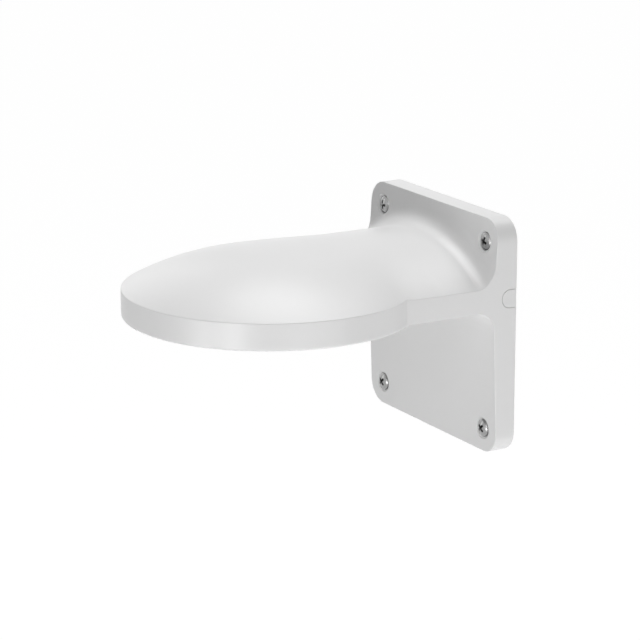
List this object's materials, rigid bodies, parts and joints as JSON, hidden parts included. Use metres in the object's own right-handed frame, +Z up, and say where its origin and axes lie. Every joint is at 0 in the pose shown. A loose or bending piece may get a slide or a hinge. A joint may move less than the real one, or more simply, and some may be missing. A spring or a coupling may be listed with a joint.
{
  "type": "camera wall bracket",
  "caption": "Cast wall bracket for a dome camera: a round domed disc on a short arm, square wall plate, hollow for the cable, screws in counterbores.",
  "frame": {"origin": "middle of the wall plate's back face, on the wall", "axes": "+Y into the wall, -Y along the arm towards the front, +Z up, +X to the right seen from the front"},
  "size_m": [0.122, 0.149, 0.1],
  "materials": {
    "shell_paint": "fine matt powder coat in signal white on die-cast aluminium",
    "plug_plastic": "moulded white plastic, fine matt texture",
    "screw_steel": "stainless steel, turned head with a smooth crown"
  },
  "bodies": {
    "root": {"bracket_body": "shell_paint", "side_entry_plug": "plug_plastic", "wall_screw_top_left": "screw_steel", "wall_screw_top_right": "screw_steel", "wall_screw_bottom_left": "screw_steel", "wall_screw_bottom_right": "screw_steel"}
  },
  "joints": []
}
